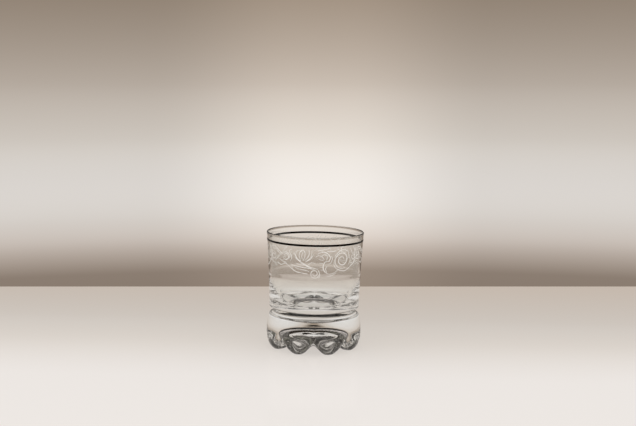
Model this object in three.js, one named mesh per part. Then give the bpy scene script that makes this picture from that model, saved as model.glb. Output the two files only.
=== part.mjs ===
// A heavy-footed lowball glass: a thin, slightly flared bowl on a thick pressed foot with eight rounded
// toes. A narrow groove runs round the glass where the bowl meets the foot, and a fired metal line runs
// under the rim. Millimetres, +Z up. The origin is on the axis at the level of the table, and a crease
// between two toes faces -Y.
import * as THREE from "three";

// The bowl
const HEIGHT = 96;
const RIM_RADIUS = 40;
const HEEL_RADIUS = 37.1;
const WAIST_PULL_RADIUS = 37.6; // draws the wall's curve in, so that it tapers below and flares above
const RIM_WALL = 1.3;
const HEEL_WALL = 2.5;
const WALL_GAIN_POWER = 3; // the wall keeps the rim's thickness far down and thickens near the heel
const HEEL_ROUND = 1.5;
const HEEL_TILT = THREE.MathUtils.degToRad(35); // how far the slope between heel and groove faces down
const BOWL_FLOOR_THICKNESS = 6.4;
const BOWL_FLOOR_FILLET = 9;
const BOWL_FLOOR_FILLET_RISE = 26; // the fillet runs far up the wall, which is thicker below

// The groove between bowl and foot
const GROOVE_HEIGHT = 30.1;
const GROOVE_INSET = 1.6; // from the heel in to the groove's lips
const GROOVE_DEPTH = 0.9; // from the lips in to the bottom of the groove
const GROOVE_RISE = 1.5; // from the bottom of the groove up or down to its lips

// The foot through the middle of a toe
const SHOULDER_ROUND = 2;
const FLANK_LEAN = THREE.MathUtils.degToRad(12);
const BELT_RADIUS = 39.6; // where the foot is widest
const BELT_HEIGHT = 10.5;
const TOE_COUNT = 8;
const TOE_PLAN_RADIUS = 13; // each toe is an arc of this radius, seen from below
const TOE_CONTACT_RADIUS = 31;
const TOE_PAD_DEPTH = 0.8; // how much of each round toe is ground flat, where it meets the table

// The foot through the crease between two toes
const CREASE_BELT_RADIUS = 38.9;
const CREASE_BELT_HEIGHT = 16;
const CREASE_FOOT_RADIUS = 32.5;
const CREASE_SOFTNESS = THREE.MathUtils.degToRad(5); // rounds the bottom of the crease
const ARCH_HEIGHT = 7.5;

// The hollow under the middle of the foot
const HOLLOW_RADIUS = 21;
const HOLLOW_EDGE_HEIGHT = 8; // where the toes' backs end and the dome starts
const HOLLOW_HEIGHT = 15;

// The metal line
const LINE_BELOW_RIM = 5.5;
const LINE_WIDTH = 1.7;
const LINE_THICKNESS = 0.12;

// How finely the round shapes are divided
const STEPS_ROUND = 80;
const STEPS_WALL = 7;
const STEPS_GROOVE = 3;
const STEPS_EDGE = 4;
const STEPS_BIG_ROUND = 7;
const STEPS_TOE_BACK = 5;
const STEPS_DOME = 6;

const QUARTER = Math.PI / 2;
const GROOVE_RADIUS = HEEL_RADIUS - GROOVE_INSET;
const NECK_RADIUS = GROOVE_RADIUS - GROOVE_DEPTH;
const GROOVE_CENTRE = new THREE.Vector2(GROOVE_RADIUS, GROOVE_HEIGHT);
const GROOVE_RADII = new THREE.Vector2(GROOVE_DEPTH, GROOVE_RISE);

// The slope between groove and heel leaves the groove's ellipse and meets the heel's round at the same tilt.
const SLOPE_TURN = Math.atan((Math.tan(HEEL_TILT) * GROOVE_RISE) / GROOVE_DEPTH);
const SLOPE_START = new THREE.Vector2(-Math.cos(SLOPE_TURN), Math.sin(SLOPE_TURN))
  .multiply(GROOVE_RADII)
  .add(GROOVE_CENTRE);
const SLOPE_END_RADIUS = HEEL_RADIUS - HEEL_ROUND * (1 - Math.cos(HEEL_TILT));
const SLOPE_END_HEIGHT = SLOPE_START.y + (SLOPE_END_RADIUS - SLOPE_START.x) / Math.tan(HEEL_TILT);
const HEEL_TOP = SLOPE_END_HEIGHT + HEEL_ROUND * Math.sin(HEEL_TILT);
const WALL_TOP = HEIGHT - RIM_WALL / 2;
const BOWL_FLOOR_HEIGHT = GROOVE_HEIGHT + BOWL_FLOOR_THICKNESS;
const LINE_TOP = HEIGHT - LINE_BELOW_RIM;
const LINE_BOTTOM = LINE_TOP - LINE_WIDTH;
const TOE_PITCH = (2 * Math.PI) / TOE_COUNT;

const clearGlass = { color: 0xdfe3df, roughness: 0.03, metalness: 0, transparent: true, opacity: 0.35 };
const firedMetal = { color: 0x2b2119, roughness: 0.3, metalness: 0.85 };

// A point of the bowl's outer surface in the plane of its profile: x is the radius, y the height.
function outerWall(height) {
  const share = (height - HEEL_TOP) / (WALL_TOP - HEEL_TOP);
  const heel = (1 - share) ** 2 * HEEL_RADIUS;
  const waist = 2 * share * (1 - share) * WAIST_PULL_RADIUS;
  return new THREE.Vector2(heel + waist + share ** 2 * RIM_RADIUS, height);
}

function innerWall(height) {
  const share = (height - HEEL_TOP) / (WALL_TOP - HEEL_TOP);
  const point = outerWall(height);
  point.x -= THREE.MathUtils.lerp(RIM_WALL, HEEL_WALL, (1 - share) ** WALL_GAIN_POWER);
  return point;
}

// Points of a wall from one height to another, without the first one.
function along(wall, from, to, steps) {
  return Array.from({ length: steps }, (_, i) => wall(THREE.MathUtils.lerp(from, to, (i + 1) / steps)));
}

// Points of an upright ellipse about a centre from one angle to another, without the first one.
function arc(centre, radii, from, to, steps) {
  return Array.from({ length: steps }, (_, i) => {
    const angle = THREE.MathUtils.lerp(from, to, (i + 1) / steps);
    return new THREE.Vector2(Math.cos(angle), Math.sin(angle)).multiply(radii).add(centre);
  });
}

function circleArc(centreRadius, centreHeight, radius, from, to, steps) {
  const centre = new THREE.Vector2(centreRadius, centreHeight);
  return arc(centre, new THREE.Vector2(radius, radius), from, to, steps);
}

// Half of the groove, from its bottom up to the bowl's slope, or down to the foot's shoulder by a negative
// turn.
function grooveHalf(turn) {
  return [
    new THREE.Vector2(NECK_RADIUS, GROOVE_HEIGHT),
    ...arc(GROOVE_CENTRE, GROOVE_RADII, 2 * QUARTER, 2 * QUARTER - turn, STEPS_GROOVE),
  ];
}

// Turns a profile about the axis.
function turned(profile) {
  return new THREE.LatheGeometry(profile, STEPS_ROUND).rotateX(QUARTER);
}

function bowlGeometry() {
  const rimRound = RIM_WALL / 2;
  const filletTop = innerWall(BOWL_FLOOR_HEIGHT + BOWL_FLOOR_FILLET_RISE);
  const filletCentre = new THREE.Vector2(filletTop.x - BOWL_FLOOR_FILLET, filletTop.y);
  const filletRadii = new THREE.Vector2(BOWL_FLOOR_FILLET, BOWL_FLOOR_FILLET_RISE);
  return turned([
    new THREE.Vector2(0, GROOVE_HEIGHT),
    ...grooveHalf(SLOPE_TURN),
    new THREE.Vector2(SLOPE_END_RADIUS, SLOPE_END_HEIGHT),
    ...circleArc(HEEL_RADIUS - HEEL_ROUND, HEEL_TOP, HEEL_ROUND, -HEEL_TILT, 0, STEPS_EDGE),
    ...along(outerWall, HEEL_TOP, LINE_BOTTOM, STEPS_WALL),
    outerWall(LINE_TOP),
    outerWall(WALL_TOP),
    ...circleArc(RIM_RADIUS - rimRound, WALL_TOP, rimRound, 0, 2 * QUARTER, 2 * STEPS_EDGE),
    ...along(innerWall, WALL_TOP, filletTop.y, STEPS_WALL),
    ...arc(filletCentre, filletRadii, 0, -QUARTER, STEPS_BIG_ROUND),
    new THREE.Vector2(0, BOWL_FLOOR_HEIGHT),
  ]);
}

// The foot's profile from the groove out over the flank and back to the axis below. The belt is its widest
// point and the end its lowest.
function footProfile(belt, end) {
  const shoulderHeight = GROOVE_HEIGHT - GROOVE_RISE - SHOULDER_ROUND;
  const shoulder = circleArc(GROOVE_RADIUS, shoulderHeight, SHOULDER_ROUND, QUARTER, FLANK_LEAN, STEPS_EDGE);
  const flankTop = shoulder.at(-1);
  const flankPull = new THREE.Vector2(belt.x, flankTop.y - (belt.x - flankTop.x) / Math.tan(FLANK_LEAN));
  const flank = new THREE.QuadraticBezierCurve(flankTop, flankPull, belt);
  const round = arc(new THREE.Vector2(end.x, belt.y), belt.clone().sub(end), 0, -QUARTER, STEPS_BIG_ROUND);
  const hollowEdge = new THREE.Vector2(HOLLOW_RADIUS, HOLLOW_EDGE_HEIGHT);
  const toeBack = new THREE.QuadraticBezierCurve(end, new THREE.Vector2(HOLLOW_RADIUS, end.y), hollowEdge);
  const domeRadii = new THREE.Vector2(HOLLOW_RADIUS, HOLLOW_HEIGHT - HOLLOW_EDGE_HEIGHT);
  return [
    new THREE.Vector2(0, GROOVE_HEIGHT),
    ...grooveHalf(-QUARTER),
    ...shoulder,
    ...flank.getPoints(STEPS_EDGE).slice(1),
    ...round,
    ...toeBack.getPoints(STEPS_TOE_BACK).slice(1),
    ...arc(new THREE.Vector2(0, HOLLOW_EDGE_HEIGHT), domeRadii, 0, QUARTER, STEPS_DOME),
  ];
}

// How far a direction is on its way from the middle of a toe (0) to the crease beside it (1). The toes are
// arcs in plan, so the way is short near the middle and long near the crease, whose soft bottom levels it off.
function creaseShare(direction) {
  const halfPitch = TOE_PITCH / 2;
  const toCrease = halfPitch - Math.abs(THREE.MathUtils.euclideanModulo(direction, TOE_PITCH) - halfPitch);
  const offset = Math.max(halfPitch - Math.hypot(toCrease, CREASE_SOFTNESS), 0);
  const centre = BELT_RADIUS - TOE_PLAN_RADIUS;
  const drop = (turn) => {
    const across = centre * Math.sin(turn);
    return BELT_RADIUS - centre * Math.cos(turn) - Math.sqrt(TOE_PLAN_RADIUS ** 2 - across ** 2);
  };
  return drop(offset) / drop(halfPitch - CREASE_SOFTNESS);
}

function footGeometry() {
  const toe = footProfile(
    new THREE.Vector2(BELT_RADIUS, BELT_HEIGHT),
    new THREE.Vector2(TOE_CONTACT_RADIUS, -TOE_PAD_DEPTH),
  );
  const crease = footProfile(
    new THREE.Vector2(CREASE_BELT_RADIUS, CREASE_BELT_HEIGHT),
    new THREE.Vector2(CREASE_FOOT_RADIUS, ARCH_HEIGHT),
  );
  const rings = toe.length - 2; // one ring for each point that isn't on the axis
  const positions = [0, 0, GROOVE_HEIGHT];
  for (let ring = 1; ring <= rings; ring++) {
    for (let step = 0; step < STEPS_ROUND; step++) {
      const direction = (step / STEPS_ROUND) * 2 * Math.PI;
      const point = toe[ring].clone().lerp(crease[ring], creaseShare(direction));
      positions.push(point.x * Math.sin(direction), -point.x * Math.cos(direction), Math.max(point.y, 0));
    }
  }
  positions.push(0, 0, HOLLOW_HEIGHT);

  const top = 0;
  const hollow = 1 + rings * STEPS_ROUND;
  const at = (ring, step) => 1 + (ring - 1) * STEPS_ROUND + (step % STEPS_ROUND);
  const faces = [];
  for (let step = 0; step < STEPS_ROUND; step++) {
    faces.push(top, at(1, step), at(1, step + 1));
    for (let ring = 1; ring < rings; ring++) {
      faces.push(at(ring, step), at(ring + 1, step), at(ring + 1, step + 1));
      faces.push(at(ring, step), at(ring + 1, step + 1), at(ring, step + 1));
    }
    faces.push(at(rings, step), hollow, at(rings, step + 1));
  }
  const geometry = new THREE.BufferGeometry();
  geometry.setAttribute("position", new THREE.Float32BufferAttribute(positions, 3));
  geometry.setIndex(faces);
  geometry.computeVertexNormals();
  return geometry;
}

// The line is fired on to the wall, so its inner face is the wall's own surface between the line's two edges.
function lineGeometry() {
  const lower = outerWall(LINE_BOTTOM);
  const upper = outerWall(LINE_TOP);
  const thickness = new THREE.Vector2(LINE_THICKNESS, 0);
  return turned([lower, lower.clone().add(thickness), upper.clone().add(thickness), upper, lower]);
}

function part(name, geometry, look) {
  const mesh = new THREE.Mesh(geometry, new THREE.MeshStandardMaterial(look));
  mesh.name = name;
  return mesh;
}

const lowballGlass = new THREE.Group();
lowballGlass.name = "lowball_glass";
lowballGlass.add(part("bowl", bowlGeometry(), clearGlass));
lowballGlass.add(part("foot", footGeometry(), clearGlass));
lowballGlass.add(part("metal_line", lineGeometry(), firedMetal));

export default lowballGlass;
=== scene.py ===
"""A lowball glass in its solids' frame: a body of clear glass, a fired line and an etched frieze."""

import math

import bmesh
import bpy
from mathutils import Matrix, Vector


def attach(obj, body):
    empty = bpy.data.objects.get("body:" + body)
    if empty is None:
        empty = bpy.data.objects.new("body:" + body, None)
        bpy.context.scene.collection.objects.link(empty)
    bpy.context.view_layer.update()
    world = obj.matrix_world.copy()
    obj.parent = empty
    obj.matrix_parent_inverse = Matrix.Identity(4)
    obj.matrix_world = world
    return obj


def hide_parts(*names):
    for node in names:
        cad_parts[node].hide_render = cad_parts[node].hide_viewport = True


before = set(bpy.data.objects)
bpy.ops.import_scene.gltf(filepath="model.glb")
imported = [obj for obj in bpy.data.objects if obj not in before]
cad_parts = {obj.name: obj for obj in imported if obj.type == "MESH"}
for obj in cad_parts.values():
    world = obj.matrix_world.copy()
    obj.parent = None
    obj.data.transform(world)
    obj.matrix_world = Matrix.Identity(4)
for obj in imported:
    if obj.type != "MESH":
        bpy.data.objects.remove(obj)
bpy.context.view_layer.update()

MM = 0.001  # metres

# The glass's own sizes in millimetres, as in the solids
HEIGHT = 96.0
RIM_RADIUS = 40.0
HEEL_RADIUS = 37.1
WAIST_PULL_RADIUS = 37.6  # draws the wall's curve in, so that it tapers below and flares above
RIM_WALL = 1.3
HEEL_WALL = 2.5
WALL_GAIN_POWER = 3  # the wall keeps the rim's thickness far down and thickens near the heel
HEEL_ROUND = 1.5
HEEL_TILT = math.radians(35)  # how far the slope between heel and groove faces down
FLOOR_THICKNESS = 6.4
FLOOR_FILLET = 9.0
FLOOR_FILLET_RISE = 26.0  # the fillet runs far up the wall
GROOVE_HEIGHT = 30.1
GROOVE_INSET = 1.6  # from the heel in to the groove's lips
GROOVE_DEPTH = 0.9  # from the lips in to the bottom of the groove
GROOVE_RISE = 1.5  # from the bottom of the groove up or down to its lips
SHOULDER_ROUND = 2.0
FLANK_LEAN = math.radians(12)
BELT_RADIUS = 39.6  # where the foot is widest
BELT_HEIGHT = 10.5
TOE_COUNT = 8
TOE_PLAN_RADIUS = 13.0  # each toe is an arc of this radius, seen from below
TOE_CONTACT_RADIUS = 31.0
TOE_PAD_DEPTH = 0.8  # how much of each round toe is ground flat
CREASE_BELT_RADIUS = 38.9
CREASE_BELT_HEIGHT = 16.0
CREASE_FOOT_RADIUS = 32.5
CREASE_SOFTNESS = math.radians(5)  # rounds the bottom of the crease
ARCH_HEIGHT = 7.5
HOLLOW_RADIUS = 21.0
HOLLOW_EDGE_HEIGHT = 8.0  # where the toes' backs end and the dome starts
HOLLOW_HEIGHT = 15.0
LINE_BELOW_RIM = 5.5
LINE_WIDTH = 1.7
LINE_THICKNESS = 0.12

# How finely the glass is drawn, round it and along each stretch of its profiles
SEGMENTS = 240
GROOVE_STEPS = 6
SHOULDER_STEPS = 8
FLANK_STEPS = 12
TOE_STEPS = 18
ARCH_STEPS = 12
DOME_STEPS = 14
NECK_STEPS = 5
SLOPE_STEPS = 6
HEEL_STEPS = 8
OUTSIDE_STEPS = 40
RIM_STEPS = 14
INSIDE_STEPS = 30
FILLET_STEPS = 36
FLOOR_STEPS = 6

GROOVE_RADIUS = HEEL_RADIUS - GROOVE_INSET
NECK_RADIUS = GROOVE_RADIUS - GROOVE_DEPTH
SLOPE_TURN = math.atan(math.tan(HEEL_TILT) * GROOVE_RISE / GROOVE_DEPTH)
SLOPE_START = (
    GROOVE_RADIUS - GROOVE_DEPTH * math.cos(SLOPE_TURN),
    GROOVE_HEIGHT + GROOVE_RISE * math.sin(SLOPE_TURN),
)
SLOPE_END_RADIUS = HEEL_RADIUS - HEEL_ROUND * (1 - math.cos(HEEL_TILT))
SLOPE_END_HEIGHT = SLOPE_START[1] + (SLOPE_END_RADIUS - SLOPE_START[0]) / math.tan(HEEL_TILT)
HEEL_TOP = SLOPE_END_HEIGHT + HEEL_ROUND * math.sin(HEEL_TILT)
WALL_TOP = HEIGHT - RIM_WALL / 2
FLOOR_HEIGHT = GROOVE_HEIGHT + FLOOR_THICKNESS
LINE_TOP = HEIGHT - LINE_BELOW_RIM
LINE_BOTTOM = LINE_TOP - LINE_WIDTH
TOE_PITCH = 2 * math.pi / TOE_COUNT


# Profiles: lists of (radius, height) in millimetres


def wall_share(z):
    return (z - HEEL_TOP) / (WALL_TOP - HEEL_TOP)


def outer_radius(z):
    s = wall_share(z)
    return (1 - s) ** 2 * HEEL_RADIUS + 2 * s * (1 - s) * WAIST_PULL_RADIUS + s * s * RIM_RADIUS


def inner_radius(z):
    gain = (1 - wall_share(z)) ** WALL_GAIN_POWER
    return outer_radius(z) - RIM_WALL - (HEEL_WALL - RIM_WALL) * gain


def blend(a, b, share):
    return tuple(p + (q - p) * share for p, q in zip(a, b))


def straight(a, b, steps):
    """Points of a line, without the first one."""
    return [blend(a, b, (i + 1) / steps) for i in range(steps)]


def wall(radius, start, end, steps):
    """Points of a wall from one height to another, without the first one."""
    return [(radius(z), z) for _, z in straight((0, start), (0, end), steps)]


def arc(cx, cz, rx, rz, start, end, steps):
    """Points of an ellipse from one angle in degrees to another, without the first one."""
    angles = [math.radians(a) for _, a in straight((0, start), (0, end), steps)]
    return [(cx + rx * math.cos(a), cz + rz * math.sin(a)) for a in angles]


def bezier(a, pull, b, steps):
    """Points of a quadratic curve, without the first one."""
    shares = [(i + 1) / steps for i in range(steps)]
    return [blend(blend(a, pull, t), blend(pull, b, t), t) for t in shares]


def foot_profile(belt, end):
    """From the dome under the middle out over toe, belt and flank to the bottom of the groove."""
    shoulder_z = GROOVE_HEIGHT - GROOVE_RISE - SHOULDER_ROUND
    lean = math.degrees(FLANK_LEAN)
    hollow_edge = (HOLLOW_RADIUS, HOLLOW_EDGE_HEIGHT)
    dome_rise = HOLLOW_HEIGHT - HOLLOW_EDGE_HEIGHT
    lip = [(NECK_RADIUS, GROOVE_HEIGHT)]
    lip += arc(GROOVE_RADIUS, GROOVE_HEIGHT, GROOVE_DEPTH, GROOVE_RISE, 180, 270, GROOVE_STEPS)
    shoulder = arc(GROOVE_RADIUS, shoulder_z, SHOULDER_ROUND, SHOULDER_ROUND, 90, lean, SHOULDER_STEPS)
    top = shoulder[-1]
    pull = (belt[0], top[1] - (belt[0] - top[0]) / math.tan(FLANK_LEAN))
    flank = bezier(top, pull, belt, FLANK_STEPS)
    round_off = arc(end[0], belt[1], belt[0] - end[0], belt[1] - end[1], 0, -90, TOE_STEPS)
    toe_back = bezier(end, (HOLLOW_RADIUS, end[1]), hollow_edge, ARCH_STEPS)
    dome = arc(0, HOLLOW_EDGE_HEIGHT, HOLLOW_RADIUS, dome_rise, 0, 90, DOME_STEPS)[:-1]
    return (lip + shoulder + flank + round_off + toe_back + dome)[::-1]


def bowl_profile():
    """From just above the groove's bottom over heel, wall and rim to the middle of the bowl's floor."""
    rim = RIM_WALL / 2
    tilt = math.degrees(HEEL_TILT)
    turn = math.degrees(SLOPE_TURN)
    fillet_top = FLOOR_HEIGHT + FLOOR_FILLET_RISE
    fillet_x = inner_radius(fillet_top) - FLOOR_FILLET
    profile = arc(GROOVE_RADIUS, GROOVE_HEIGHT, GROOVE_DEPTH, GROOVE_RISE, 180, 180 - turn, NECK_STEPS)
    profile += straight(SLOPE_START, (SLOPE_END_RADIUS, SLOPE_END_HEIGHT), SLOPE_STEPS)
    profile += arc(HEEL_RADIUS - HEEL_ROUND, HEEL_TOP, HEEL_ROUND, HEEL_ROUND, -tilt, 0, HEEL_STEPS)
    profile += wall(outer_radius, HEEL_TOP, WALL_TOP, OUTSIDE_STEPS)
    profile += arc(RIM_RADIUS - rim, WALL_TOP, rim, rim, 0, 180, RIM_STEPS)
    profile += wall(inner_radius, WALL_TOP, fillet_top, INSIDE_STEPS)
    profile += arc(fillet_x, fillet_top, FLOOR_FILLET, FLOOR_FILLET_RISE, 0, -90, FILLET_STEPS)
    profile += straight((fillet_x, FLOOR_HEIGHT), (0, FLOOR_HEIGHT), FLOOR_STEPS)[:-1]
    return profile


def crease_share(direction):
    """How far a direction is on its way from the middle of a toe (0) to the crease beside it (1)."""
    half = TOE_PITCH / 2
    to_crease = half - abs((direction % TOE_PITCH) - half)
    offset = max(half - math.hypot(to_crease, CREASE_SOFTNESS), 0.0)
    centre = BELT_RADIUS - TOE_PLAN_RADIUS

    def drop(turn):
        """How far inside the belt the toe's outline lies, this far round from its middle."""
        across = centre * math.sin(turn)
        return BELT_RADIUS - centre * math.cos(turn) - math.sqrt(TOE_PLAN_RADIUS**2 - across**2)

    return drop(offset) / drop(half - CREASE_SOFTNESS)


# Meshes


def on_ring(radius, height, step):
    """A point on a ring, in metres. Step 0 is at the front."""
    turn = 2 * math.pi * step / SEGMENTS
    return Vector((radius * math.sin(turn), -radius * math.cos(turn), height)) * MM


def join_rings(bm, low, high):
    for step in range(len(low)):
        after = (step + 1) % len(low)
        bm.faces.new((low[step], low[after], high[after], high[step]))


def close_ring(bm, ring, height):
    centre = bm.verts.new((0, 0, height * MM))
    for step in range(len(ring)):
        bm.faces.new((ring[step], ring[(step + 1) % len(ring)], centre))


def new_object(name, bm, smooth=True):
    bmesh.ops.recalc_face_normals(bm, faces=bm.faces[:])
    mesh = bpy.data.meshes.new(name)
    bm.to_mesh(mesh)
    bm.free()
    mesh.polygons.foreach_set("use_smooth", [smooth] * len(mesh.polygons))
    made = bpy.data.objects.new(name, mesh)
    bpy.context.scene.collection.objects.link(made)
    return made


def make_glass():
    """Bowl and foot as one closed body, so that light crosses the groove as in one glass."""
    toe = foot_profile((BELT_RADIUS, BELT_HEIGHT), (TOE_CONTACT_RADIUS, -TOE_PAD_DEPTH))
    crease = foot_profile((CREASE_BELT_RADIUS, CREASE_BELT_HEIGHT), (CREASE_FOOT_RADIUS, ARCH_HEIGHT))
    shares = [crease_share(2 * math.pi * step / SEGMENTS) for step in range(SEGMENTS)]
    bm = bmesh.new()
    rings = []
    for at_toe, at_crease in zip(toe, crease):
        ring = []
        for step, share in enumerate(shares):
            radius, height = blend(at_toe, at_crease, share)
            ring.append(bm.verts.new(on_ring(radius, max(height, 0.0), step)))
        rings.append(ring)
    for radius, height in bowl_profile():
        rings.append([bm.verts.new(on_ring(radius, height, step)) for step in range(SEGMENTS)])
    for low, high in zip(rings, rings[1:]):
        join_rings(bm, low, high)
    close_ring(bm, rings[0], HOLLOW_HEIGHT)
    close_ring(bm, rings[-1], FLOOR_HEIGHT)
    return new_object("glass_body", bm)


LINE_STEPS = 10  # across the line
LINE_GAP = 0.004  # between wall and line
LINE_EDGE = 0.35  # how soft its edges are


def make_line():
    """The fired line: a thin ring with soft edges that lies just off the wall."""
    shares = [i / LINE_STEPS for i in range(LINE_STEPS + 1)]
    heights = [LINE_BOTTOM + LINE_WIDTH * share for share in shares]
    lifts = [(LINE_THICKNESS - LINE_GAP) * math.sin(math.pi * share) ** LINE_EDGE for share in shares]
    outside = [(outer_radius(z) + LINE_GAP + lift, z) for z, lift in zip(heights, lifts)]
    inside = [(outer_radius(z) + LINE_GAP, z) for z in heights[-2:0:-1]]
    bm = bmesh.new()
    rings = []
    for radius, height in outside + inside:
        rings.append([bm.verts.new(on_ring(radius, height, step)) for step in range(SEGMENTS)])
    for low, high in zip(rings, rings[1:] + rings[:1]):
        join_rings(bm, low, high)
    return new_object("fired_line", bm)


# The etched frieze: strokes whose points are (degrees round the glass, height in millimetres)
FRIEZE_REPEATS = 3
FRIEZE_RADIUS = 38.8
FRIEZE_GAP = 0.01  # from the wall out to the strokes' backs
FRIEZE_THICKNESS = 0.04
BROAD = 0.75  # widths of strokes
MIDDLE = 0.6
FINE = 0.45
STROKE_TIP = 0.3  # how wide a stroke's ends are, as a share of its middle
DEGREE = math.radians(FRIEZE_RADIUS)  # one degree round the wall, in millimetres
STROKES = [
    # a pair of small scrolls on a wavy stem
    (MIDDLE, [(-62, 86), (-54, 86.5), (-46, 83.5), (-42, 81.7), (-36, 83.4), (-31, 81), (-32, 77.6)]),
    (FINE, [(-64, 84), (-66, 79), (-62, 74.5), (-55, 73)]),
    (MIDDLE, [(-50, 74), (-44, 72.4), (-38, 74.2), (-32, 72.5), (-28, 70)]),
    (FINE, [(-47, 77.5), (-42, 75.6), (-36, 75)]),
    (FINE, [(-60, 84.4), (-53, 84.8), (-47, 82), (-43, 80)]),
    (FINE, [(-68, 87), (-66, 84), (-68, 80)]),
    (FINE, [(-54, 75.8), (-50, 77.6), (-46, 79.6)]),
    (FINE, [(-27, 86.4), (-31, 84.4), (-28, 79.5), (-30, 76.5)]),
    # a tulip
    (MIDDLE, [(-16, 77), (-21, 79), (-25.5, 83.5)]),
    (MIDDLE, [(-16, 77), (-18.5, 81), (-17, 84.5), (-14, 86), (-11.5, 84), (-12, 80), (-14.5, 77)]),
    (FINE, [(-14.5, 78.5), (-15.5, 81), (-14, 84)]),
    (MIDDLE, [(-12, 77.5), (-8, 80.5), (-6.5, 83.5), (-7, 86.8)]),
    (FINE, [(-11, 76.5), (-5, 79), (-1, 83.2)]),
    (FINE, [(-10, 77), (-4.5, 80.4), (-3.2, 85.6)]),
    (FINE, [(-21, 79.5), (-23, 82), (-20.5, 85.6)]),
    # its stem, and a long leaf below
    (BROAD, [(-24, 80), (-19, 77.3), (-12, 74.6), (-4, 72.2), (4, 71)]),
    (FINE, [(-17, 75.6), (-10, 73.2), (-3, 71.2)]),
    (MIDDLE, [(-30, 74), (-24, 73), (-16, 72.2), (-8, 71.6), (0, 70.4)]),
    (MIDDLE, [(-28, 73.4), (-27, 70), (-22, 68.2), (-15, 67.4), (-8, 67)]),
    (FINE, [(-25, 72), (-18, 70.4), (-11, 69.8), (-6, 68.8)]),
    (FINE, [(-23, 75.4), (-18, 74.2), (-13, 73.6)]),
    (FINE, [(-8, 74), (-4, 76), (1, 75.4)]),
    (FINE, [(4, 69.5), (6.5, 66.5), (5, 63.6)]),
    # a curled leaf with small leaflets
    (BROAD, [(3, 83), (9, 84.8), (15, 83.5), (18.5, 80), (16.5, 77)]),
    (MIDDLE, [(6, 80.5), (11, 82.6), (14.6, 81), (14, 78)]),
    (BROAD, [(18, 77.4), (12, 76.4), (10, 72.5), (12, 69), (17, 66.8)]),
    (FINE, [(5, 79), (10, 77.8)]),
    (FINE, [(5.5, 75.8), (10, 75.4)]),
    (FINE, [(6, 72.6), (10, 72.6)]),
    (MIDDLE, [(15, 73.4), (12.8, 71), (14.8, 68.6)]),
    (FINE, [(17, 66.8), (23, 67.4), (29, 70)]),
    (FINE, [(1, 80.6), (5, 82), (9, 80.6), (11, 78.6)]),
    (FINE, [(19.5, 82), (21, 79), (19, 75.6), (15, 75)]),
    (FINE, [(7.5, 70), (10.5, 70.4)]),
    (FINE, [(14, 65.4), (20, 65.4), (27, 67.6)]),
    # leaves about the large scroll
    (MIDDLE, [(24, 81), (29, 84.6), (36, 86), (43, 84)]),
    (MIDDLE, [(28, 70), (38, 68.8), (47, 71.5), (55, 75)]),
    (FINE, [(46, 86.8), (48.5, 84), (50.5, 81.5)]),
    (MIDDLE, [(56, 87.4), (58.5, 82), (57.5, 77), (53, 73.6)]),
    (FINE, [(51, 87.6), (55, 85), (56.5, 81)]),
    (FINE, [(24, 79), (23.4, 74), (27, 70.8), (32, 69.8)]),
    (FINE, [(27, 87), (33, 84.6), (40, 83)]),
    (FINE, [(44, 82), (46.5, 77), (43, 72.6)]),
    (FINE, [(47, 75), (51, 74.4), (56, 77)]),
    # leaf lines under the fired line
    (MIDDLE, [(3, 85.6), (10, 86.6), (19, 88)]),
    (MIDDLE, [(14, 85.2), (19, 85), (25, 85.6)]),
]
# Scrolls: width, centre, outer and inner radius, first angle and turn in degrees
SCROLLS = [
    (MIDDLE, (-58, 79), 3.6, 1.0, 120, -480),
    (MIDDLE, (-36, 80), 3.2, 0.9, 200, 440),
    (MIDDLE, (0, 67.2), 4.2, 1.2, 60, -620),
    (BROAD, (34, 77.8), 7.4, 1.8, -60, -660),
    (MIDDLE, (53, 79.6), 2.9, 0.8, 100, 470),
    (FINE, (34, 87.2), 1.3, 1.1, 0, 350),
]
STROKE_STEPS = 8  # per stretch between two points
SCROLL_STEP = 20  # degrees


def smooth_line(points):
    """A smooth line through points, by a Catmull-Rom spline."""
    padded = [points[0]] + points + [points[-1]]
    line = [points[0]]
    for before, a, b, after in zip(padded, padded[1:], padded[2:], padded[3:]):
        for t in (i / STROKE_STEPS for i in range(1, STROKE_STEPS + 1)):
            low = blend(blend(before, a, t + 1), blend(a, b, t), (t + 1) / 2)
            high = blend(blend(a, b, t), blend(b, after, t - 1), t / 2)
            line.append(blend(low, high, t))
    return line


def scroll_line(centre, outer, inner, start, turn):
    """A spiral from its outer radius in to its inner one."""
    steps = round(abs(turn) / SCROLL_STEP)
    line = []
    for i in range(steps + 1):
        radius = outer + (inner - outer) * i / steps
        angle = math.radians(start + turn * i / steps)
        line.append((centre[0] + radius * math.cos(angle), centre[1] + radius * math.sin(angle)))
    return line


def on_wall(across, height, turn, lift):
    """A point over the wall, in metres, from millimetres round it and up it."""
    angle = across / FRIEZE_RADIUS + turn
    radius = outer_radius(height) + lift
    return Vector((radius * math.sin(angle), -radius * math.cos(angle), height)) * MM


def add_stroke(bm, line, width, turn):
    """A flat closed ribbon along a line on the wall, thin at both ends."""
    rings = []
    for i, (across, height) in enumerate(line):
        before = line[max(i - 1, 0)]
        after = line[min(i + 1, len(line) - 1)]
        along = Vector((after[0] - before[0], after[1] - before[1])).normalized()
        swell = math.sqrt(math.sin(math.pi * i / (len(line) - 1)))
        half = width / 2 * (STROKE_TIP + (1 - STROKE_TIP) * swell)
        left = (across - along.y * half, height + along.x * half)
        right = (across + along.y * half, height - along.x * half)
        low = FRIEZE_GAP
        high = FRIEZE_GAP + FRIEZE_THICKNESS
        corners = ((left, low), (left, high), (right, high), (right, low))
        rings.append([bm.verts.new(on_wall(*place, turn, lift)) for place, lift in corners])
    for a, b in zip(rings, rings[1:]):
        join_rings(bm, a, b)
    bm.faces.new(rings[0])
    bm.faces.new(rings[-1])


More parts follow.
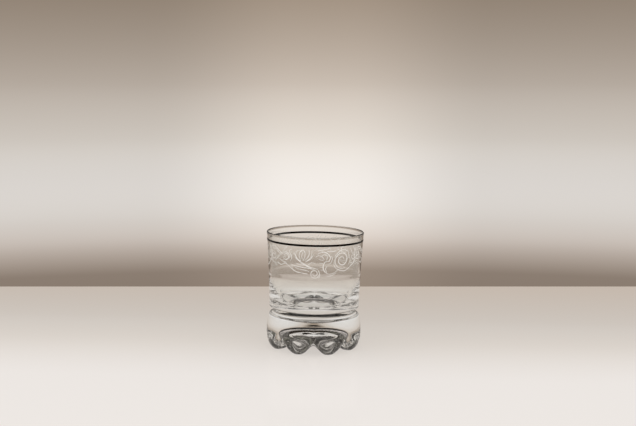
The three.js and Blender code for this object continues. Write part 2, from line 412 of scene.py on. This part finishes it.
def make_frieze():
    bm = bmesh.new()
    lines = [(width, smooth_line([(a * DEGREE, z) for a, z in points])) for width, points in STROKES]
    for width, (degrees, height), outer, inner, start, turn in SCROLLS:
        lines.append((width, scroll_line((degrees * DEGREE, height), outer, inner, start, turn)))
    for repeat in range(FRIEZE_REPEATS):
        for width, line in lines:
            add_stroke(bm, line, width, 2 * math.pi * repeat / FRIEZE_REPEATS)
    return new_object("frieze", bm, smooth=False)


# Materials. Their lengths are in metres.


class Graph:
    """The nodes of one material, or of the world's light."""

    def __init__(self, tree):
        self.nodes = tree.nodes
        self.links = tree.links
        self.nodes.clear()

    def plug(self, socket, value):
        """Sets a socket to a value, or joins it to another node's output."""
        if isinstance(value, bpy.types.NodeSocket):
            self.links.new(value, socket)
        else:
            socket.default_value = value

    def plug_all(self, sockets, values):
        for socket, value in zip(sockets, values):
            self.plug(socket, value)

    def place(self):
        """Where on the piece, in metres in the shared frame."""
        return self.nodes.new("ShaderNodeTexCoord").outputs["Object"]

    def part_of(self, vector, axis):
        node = self.nodes.new("ShaderNodeSeparateXYZ")
        self.links.new(vector, node.inputs["Vector"])
        return node.outputs[axis]

    def maths(self, operation, *values):
        node = self.nodes.new("ShaderNodeMath")
        node.operation = operation
        self.plug_all(node.inputs, values)
        return node.outputs["Value"]

    def vector_maths(self, operation, first, second):
        node = self.nodes.new("ShaderNodeVectorMath")
        node.operation = operation
        self.plug_all(node.inputs, (first, second))
        return node.outputs["Value"]

    def rise(self, value, start, end, low=0.0, high=1.0):
        """Goes smoothly from low to high while the value goes from start to end."""
        node = self.nodes.new("ShaderNodeMapRange")
        node.interpolation_type = "SMOOTHSTEP"
        self.plug_all(node.inputs, (value, start, end, low, high))
        return node.outputs["Result"]

    def noise(self, place, size, detail=2.0):
        """Soft noise with features of about this size in metres."""
        node = self.nodes.new("ShaderNodeTexNoise")
        node.inputs["Scale"].default_value = 1 / size
        node.inputs["Detail"].default_value = detail
        self.links.new(place, node.inputs["Vector"])
        return node.outputs[0]

    def mix(self, factor, first, second):
        """Mixes two colours."""
        node = self.nodes.new("ShaderNodeMix")
        node.data_type = "RGBA"
        self.plug(node.inputs["Factor"], factor)
        self.plug_all([socket for socket in node.inputs if socket.type == "RGBA"], (first, second))
        return next(socket for socket in node.outputs if socket.type == "RGBA")

    def ramp(self, value, stops):
        """A smooth run of colours over a value."""
        low = stops[0][0]
        high = stops[-1][0]
        share = self.nodes.new("ShaderNodeMapRange")
        self.plug_all(share.inputs, (value, low, high))
        node = self.nodes.new("ShaderNodeValToRGB")
        node.color_ramp.interpolation = "CARDINAL"
        elements = node.color_ramp.elements
        elements.remove(elements[1])
        for i, (stop, colour) in enumerate(stops):
            at = (stop - low) / (high - low)
            element = elements[0] if i == 0 else elements.new(at)
            element.position = at
            element.color = linear(*colour)
        self.links.new(share.outputs["Result"], node.inputs["Fac"])
        return node.outputs["Color"]

    def shader(self, kind, **inputs):
        node = self.nodes.new(kind)
        for name, value in inputs.items():
            self.plug(node.inputs[name.replace("_", " ")], value)
        return node.outputs[0]

    def mix_shaders(self, factor, first, second):
        node = self.nodes.new("ShaderNodeMixShader")
        self.plug_all(node.inputs, (factor, first, second))
        return node.outputs["Shader"]

    def looking_rays(self):
        """1 for what is seen straight, mirrored or through glass, and 0 for light on the object."""
        path = self.nodes.new("ShaderNodeLightPath").outputs
        seen = self.maths("MAXIMUM", path["Is Camera Ray"], path["Is Glossy Ray"])
        seen = self.maths("MAXIMUM", seen, path["Is Transmission Ray"])
        return self.maths("SUBTRACT", seen, path["Is Diffuse Ray"])

    def through_glass(self):
        return self.nodes.new("ShaderNodeLightPath").outputs["Is Transmission Ray"]

    def finish(self, shader, output="ShaderNodeOutputMaterial"):
        self.links.new(shader, self.nodes.new(output).inputs["Surface"])


def linear(r, g, b):
    """The light of a colour that is given as on a screen, in red, green and blue from 0 to 255."""

    def one(c):
        c /= 255
        return c / 12.92 if c <= 0.04045 else ((c + 0.055) / 1.055) ** 2.4

    return (one(r), one(g), one(b), 1)


def new_material(name):
    material = bpy.data.materials.new(name)
    material.use_nodes = True
    return material, Graph(material.node_tree)


GLASS_TINT = (0.985, 0.99, 0.98, 1)
GLASS_IOR = 1.5
RIPPLE_SIZE = 0.005  # soft ripples of the blown and pressed surface
RIPPLE_HEIGHT = 0.00006
GRAIN_SIZE = 0.0014  # a fine grain on top of the ripples
GRAIN_HEIGHT = 0.000006
# How strong the ripples are, and the heights between which they set in or fade out
WALL_RIPPLE = 0.6
HEEL_CLEAR = (0.038, 0.04)  # keeps the heel and the bowl's floor clear
WALL_FADE = (0.04, 0.085)
FOOT_RIPPLE = 1.0
FOOT_FADE = (0.014, 0.018)


def glass_material():
    """Clear glass, rippled on the lower wall and at the toes."""
    material, graph = new_material("clear_glass")
    place = graph.place()
    height = graph.part_of(place, "Z")
    wall_gain = graph.rise(height, *WALL_FADE, WALL_RIPPLE, 0.0)
    wall_gain = graph.maths("MULTIPLY", wall_gain, graph.rise(height, *HEEL_CLEAR))
    foot_gain = graph.rise(height, *FOOT_FADE, FOOT_RIPPLE, 0.0)
    gain = graph.maths("ADD", wall_gain, foot_gain)
    ripple = graph.maths("MULTIPLY", graph.noise(place, RIPPLE_SIZE), RIPPLE_HEIGHT)
    grain = graph.maths("MULTIPLY", graph.noise(place, GRAIN_SIZE), GRAIN_HEIGHT)
    relief = graph.maths("MULTIPLY", graph.maths("ADD", ripple, grain), gain)
    bump = graph.nodes.new("ShaderNodeBump")
    bump.inputs["Distance"].default_value = 1.0
    graph.links.new(relief, bump.inputs["Height"])
    glass = graph.shader(
        "ShaderNodeBsdfPrincipled",
        Base_Color=GLASS_TINT,
        Transmission_Weight=1.0,
        IOR=GLASS_IOR,
        Roughness=0.0,
        Normal=bump.outputs["Normal"],
    )
    graph.finish(glass)
    return material


LUSTRE = (0.004, 0.002, 0.001, 1)
# Painted glints: small lighter patches of this colour on the dark lustre, with their size and spread
# below
LUSTRE_GLINT = (0.12, 0.09, 0.07, 1)
GLINT_SIZE = 0.006
GLINT_DETAIL = 4.0
GLINT_FROM = 0.62
GLINT_TO = 0.72
BRUSH_SIZE = 0.0008
BRUSH_FROM = 0.3
BRUSH_TO = 0.7
LUSTRE_SMOOTH = 0.25
LUSTRE_ROUGH = 0.45


def line_material():
    """A dark lustre with small lighter patches that are painted glints."""
    material, graph = new_material("fired_metal")
    place = graph.place()
    # where the painted glints lie on the line
    painted_glints = graph.rise(graph.noise(place, GLINT_SIZE, GLINT_DETAIL), GLINT_FROM, GLINT_TO)
    brush = graph.noise(place, BRUSH_SIZE)
    lustre = graph.shader(
        "ShaderNodeBsdfPrincipled",
        Base_Color=graph.mix(painted_glints, LUSTRE, LUSTRE_GLINT),
        Metallic=1.0,
        Roughness=graph.rise(brush, BRUSH_FROM, BRUSH_TO, LUSTRE_SMOOTH, LUSTRE_ROUGH),
    )
    graph.finish(lustre)
    return material


ETCH_DEEP = (0.86, 0.84, 0.8, 1)
ETCH_LIGHT = (0.97, 0.96, 0.94, 1)
ETCH_SIZE = 0.004
ETCH_DETAIL = 3.0
ETCH_FROM = 0.3
ETCH_TO = 0.7
ETCH_ROUGHNESS = 0.7
ETCH_THIN = 0.6  # how much the etching covers
ETCH_DENSE = 0.95
ETCH_INSIDE = 0.5  # how much of it shows from inside the bowl


def frieze_material():
    """Etched glass: satin white, denser in some places than in others."""
    material, graph = new_material("etched_frieze")
    place = graph.place()
    cloud = graph.noise(place, ETCH_SIZE, ETCH_DETAIL)
    tint = graph.mix(cloud, ETCH_DEEP, ETCH_LIGHT)
    normal = graph.nodes.new("ShaderNodeNewGeometry").outputs["Normal"]
    outside = graph.maths("GREATER_THAN", graph.vector_maths("DOT_PRODUCT", place, normal), 0.0)
    satin = graph.shader("ShaderNodeBsdfPrincipled", Base_Color=tint, Roughness=ETCH_ROUGHNESS)
    lit_from_behind = graph.shader("ShaderNodeBsdfTranslucent", Color=tint)
    etched = graph.mix_shaders(outside, lit_from_behind, satin)
    coverage = graph.rise(cloud, ETCH_FROM, ETCH_TO, ETCH_THIN, ETCH_DENSE)
    side = graph.maths("MULTIPLY_ADD", outside, 1 - ETCH_INSIDE, ETCH_INSIDE)
    coverage = graph.maths("MULTIPLY", coverage, side)
    bare = graph.shader("ShaderNodeBsdfTransparent")
    graph.finish(graph.mix_shaders(coverage, bare, etched))
    return material


# The table: a pale sheet with the glass's shadow on it. Colours are (red, green, blue) as seen.
# Its far edge lies aslant, as in the photo.
TABLE_CORNERS = [(-1.2, -1.6), (1.2, -1.6), (1.2, 0.3745), (-1.2, 0.1421)]
TABLE_THICKNESS = 0.006
# The table's colours, each with its distance behind the middle of the glass: painted light, brightest a
# little in front of the glass and darker towards the back
TABLE_STOPS = [
    (-0.5, (240, 235, 230)),
    (-0.1, (245, 240, 236)),
    (0.0, (230, 223, 216)),
    (0.1, (214, 206, 198)),
    (0.3, (205, 192, 180)),
]
TABLE_GLOW = 0.75  # the share of the table's look that the glass's shadow doesn't darken
TABLE_SHEEN = 0.06
TABLE_SHEEN_ROUGHNESS = 0.12
# A painted pool of light: the table's colour turns white behind the glass, where light through it would
# gather
POOL_COLOUR = (1.0, 1.0, 1.0, 1)
POOL_PLACE = (0, 0.06, 0)  # where light gathers behind the glass
POOL_SIZE = (0.045, 0.08, 0.1)
POOL_SHARE = 0.9
FAR_FADE = 0.06  # how far before its edge the table fades out, seen through the glass
FAR_COLOUR = (180, 165, 155)


def painted_pool(graph, place):
    """A painted pool of light, where the light that the glass lets through would gather."""
    spread = graph.nodes.new("ShaderNodeMapping")
    spread.vector_type = "TEXTURE"
    spread.inputs["Location"].default_value = POOL_PLACE
    spread.inputs["Scale"].default_value = POOL_SIZE
    graph.links.new(place, spread.inputs["Vector"])
    ball = graph.nodes.new("ShaderNodeTexGradient")
    ball.gradient_type = "QUADRATIC_SPHERE"
    graph.links.new(spread.outputs["Vector"], ball.inputs["Vector"])
    return graph.maths("MULTIPLY", ball.outputs["Fac"], POOL_SHARE)


def far_edge(graph, place):
    """The strip before the table's far edge."""
    left = Vector(TABLE_CORNERS[-1])
    right = Vector(TABLE_CORNERS[-2])
    along = (right - left).normalized()
    across = Vector((-along.y, along.x))
    edge = left.dot(across)
    return graph.rise(graph.vector_maths("DOT_PRODUCT", place, (*across, 0)), edge - FAR_FADE, edge)


def table_material():
    material, graph = new_material("table")
    place = graph.place()
    # painted light: the sheet darkens towards the back
    colour = graph.ramp(graph.part_of(place, "Y"), TABLE_STOPS)
    # the painted pool of light behind the glass
    colour = graph.mix(painted_pool(graph, place), colour, POOL_COLOUR)
    far = graph.maths("MULTIPLY", far_edge(graph, place), graph.through_glass())
    colour = graph.mix(far, colour, linear(*FAR_COLOUR))
    lit = graph.shader("ShaderNodeBsdfDiffuse", Color=colour)
    glow = graph.shader("ShaderNodeEmission", Color=colour)
    matt = graph.mix_shaders(graph.maths("MULTIPLY", graph.looking_rays(), TABLE_GLOW), lit, glow)
    sheen = graph.shader("ShaderNodeBsdfGlossy", Roughness=TABLE_SHEEN_ROUGHNESS)
    graph.finish(graph.mix_shaders(TABLE_SHEEN, matt, sheen))
    return material


def make_table():
    bm = bmesh.new()
    top = [bm.verts.new((x, y, 0)) for x, y in TABLE_CORNERS]
    under = [bm.verts.new((x, y, -TABLE_THICKNESS)) for x, y in TABLE_CORNERS]
    bm.faces.new(top)
    bm.faces.new(under)
    join_rings(bm, top, under)
    return new_object("table", bm, smooth=False)


# The light and the room behind the glass. Angles up are in degrees.
LAMP = 0.9  # how strong the light on the object is
LAMP_COLOUR = (1.0, 0.97, 0.94, 1)
ROLL = math.radians(1.05)  # the photo's own slant
# The backdrop's colours, each with its angle up
BACKDROP_STOPS = [
    (-30, (120, 110, 100)),
    (-10, (156, 141, 128)),
    (-8.5, (214, 202, 192)),
    (-7, (238, 231, 224)),
    (-5, (242, 236, 230)),
    (-3, (230, 222, 213)),
    (0, (202, 190, 178)),
    (5, (160, 144, 128)),
]
DARK = (5, 5, 5)  # the dark of the room behind the glass, above the backdrop
DARK_FROM = 5
DARK_TO = 6
CEILING = (40, 34, 26)
CEILING_FROM = 22
CEILING_TO = 27
WALLS = (20, 16, 11)  # the room to the sides and in front
ROOM_SIDE = 0.35  # how far to the sides the dark reaches, as the cosine off the view
ROOM_SIDE_EDGE = 0.1
SIDE_LEVEL = 0.78  # how bright the backdrop is away from its middle
SIDE_FROM = 0.02  # as sines of the angle off the middle
SIDE_TO = 0.16
WINDOW = (230, 220, 215)  # a pale window behind the glass
WINDOW_FROM = 17
WINDOW_TO = 32
WINDOW_EDGE = 3
WINDOW_SIDE = 0.85  # how far to the sides it reaches, as the cosine off the view
WINDOW_SIDE_EDGE = 0.05
BOX = (110, 108, 95)  # a soft box overhead, behind the left of the glass
BOX_UP = math.radians(48)
BOX_LEFT = math.radians(40)
BOX_HALF = math.radians(12)
BOX_EDGE = math.radians(6)


def window(graph, ahead, up):
    """1 in the window and 0 outside it, with soft edges."""
    above = graph.rise(up, WINDOW_FROM, WINDOW_FROM + WINDOW_EDGE)
    below = graph.rise(up, WINDOW_TO, WINDOW_TO + WINDOW_EDGE, 1.0, 0.0)
    facing = graph.rise(ahead, WINDOW_SIDE, WINDOW_SIDE + WINDOW_SIDE_EDGE)
    return graph.maths("MULTIPLY", graph.maths("MULTIPLY", above, below), facing)


def soft_box(graph, direction):
    """1 in the soft box and 0 outside it, with a soft edge."""
    level = math.cos(BOX_UP)
    middle = (-level * math.sin(BOX_LEFT), level * math.cos(BOX_LEFT), math.sin(BOX_UP))
    near = graph.vector_maths("DOT_PRODUCT", direction, middle)
    return graph.rise(near, math.cos(BOX_HALF + BOX_EDGE), math.cos(BOX_HALF))


def make_world():
    """The object's plain light, and the backdrop that is seen straight, mirrored or through glass."""
    world = bpy.data.worlds.new("studio")
    bpy.context.scene.world = world
    world.use_nodes = True
    graph = Graph(world.node_tree)
    direction = graph.nodes.new("ShaderNodeTexCoord").outputs["Generated"]
    upward = graph.vector_maths("DOT_PRODUCT", direction, (-math.sin(ROLL), 0, math.cos(ROLL)))
    up = graph.maths("DEGREES", graph.maths("ARCSINE", upward))
    colour = graph.ramp(up, BACKDROP_STOPS)
    ahead = graph.part_of(direction, "Y")
    dark = graph.mix(graph.rise(up, CEILING_FROM, CEILING_TO), linear(*DARK), linear(*CEILING))
    room = graph.mix(graph.rise(ahead, ROOM_SIDE, ROOM_SIDE + ROOM_SIDE_EDGE), linear(*WALLS), dark)
    colour = graph.mix(graph.rise(up, DARK_FROM, DARK_TO), colour, room)
    colour = graph.mix(window(graph, ahead, up), colour, linear(*WINDOW))
    colour = graph.mix(soft_box(graph, direction), colour, linear(*BOX))
    aside = graph.maths("ABSOLUTE", graph.part_of(direction, "X"))
    level = graph.rise(aside, SIDE_FROM, SIDE_TO, 1.0, SIDE_LEVEL)
    backdrop = graph.shader("ShaderNodeBackground", Color=colour, Strength=level)
    lamp = graph.shader("ShaderNodeBackground", Color=LAMP_COLOUR, Strength=LAMP)
    graph.finish(graph.mix_shaders(graph.looking_rays(), lamp, backdrop), "ShaderNodeOutputWorld")


# The camera, worked out from the ovals in the photo
PICTURE_WIDTH = 636  # pixels
FOCAL_LENGTH = 1060  # pixels
SENSOR = 36  # millimetres
CAMERA_PLACE = (0.00187, -0.86415, 0.21591)
LOOK_DOWN = 6.919  # degrees
CAMERA_TILT = math.radians(90 - LOOK_DOWN)


def make_camera():
    data = bpy.data.cameras.new("camera")
    data.sensor_width = SENSOR
    data.lens = FOCAL_LENGTH / PICTURE_WIDTH * SENSOR
    camera = bpy.data.objects.new("camera", data)
    tilt = Matrix.Rotation(CAMERA_TILT, 4, "X")
    camera.matrix_world = Matrix.Translation(CAMERA_PLACE) @ tilt @ Matrix.Rotation(ROLL, 4, "Z")
    bpy.context.scene.collection.objects.link(camera)
    bpy.context.scene.camera = camera


def dress(piece, material):
    piece.data.materials.append(material)
    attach(piece, "root")


glass = make_glass()
dress(glass, glass_material())
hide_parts("bowl", "foot")

fired_line = make_line()
dress(fired_line, line_material())
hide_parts("metal_line")

dress(make_frieze(), frieze_material())

table = make_table()
table.data.materials.append(table_material())

make_world()
make_camera()

scene = bpy.context.scene
scene.view_settings.view_transform = "Standard"
# Enough bounces for light to cross the foot and the bowl on every way through
scene.cycles.max_bounces = 24
scene.cycles.transmission_bounces = 20
scene.cycles.glossy_bounces = 12
